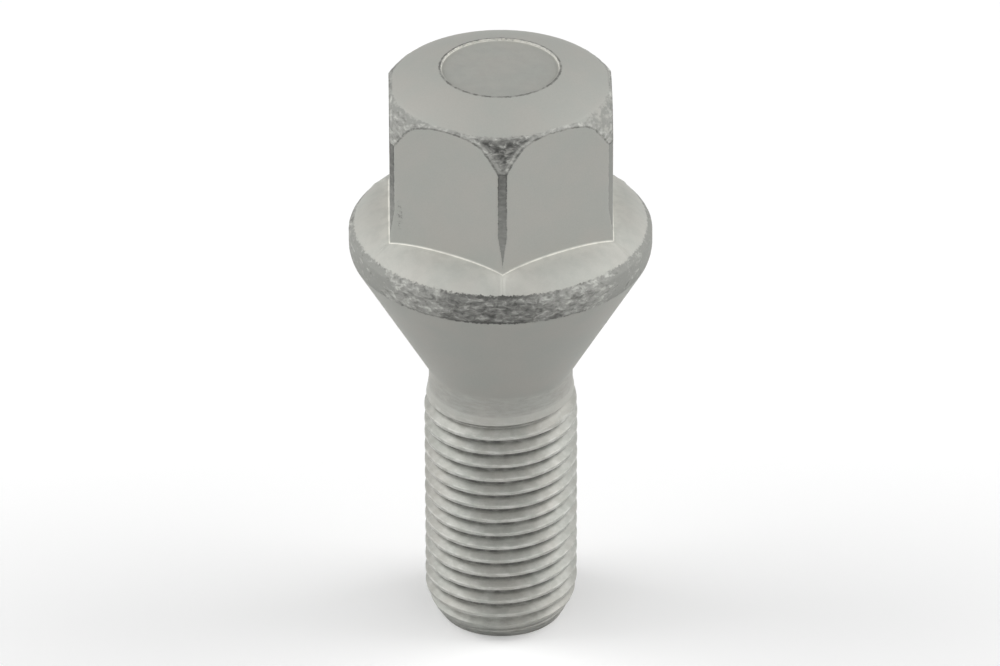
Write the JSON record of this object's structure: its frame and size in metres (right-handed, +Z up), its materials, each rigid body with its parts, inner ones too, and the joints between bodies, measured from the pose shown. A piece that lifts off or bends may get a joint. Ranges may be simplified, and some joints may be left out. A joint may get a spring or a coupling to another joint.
{
  "type": "wheel bolt",
  "caption": "One-piece wheel bolt: crowned hexagon head on a dished collar, 60 degree conical seat, short neck and rolled fine right-hand thread with a blunt point.",
  "frame": {"origin": "centre of the flat thread end, on which the bolt stands", "axes": "+Z up the bolt's axis from the thread end to the head, -Y through one corner of the hexagon, +X square to two of its flats"},
  "size_m": [0.0234, 0.0234, 0.0485],
  "materials": {
    "zinc_flake_steel": "matte silver-grey zinc flake coating on forged steel, rough and darker on the rim and the crown's edge, with light wear"
  },
  "bodies": {
    "root": {"wheel_bolt": "zinc_flake_steel"}
  },
  "joints": []
}
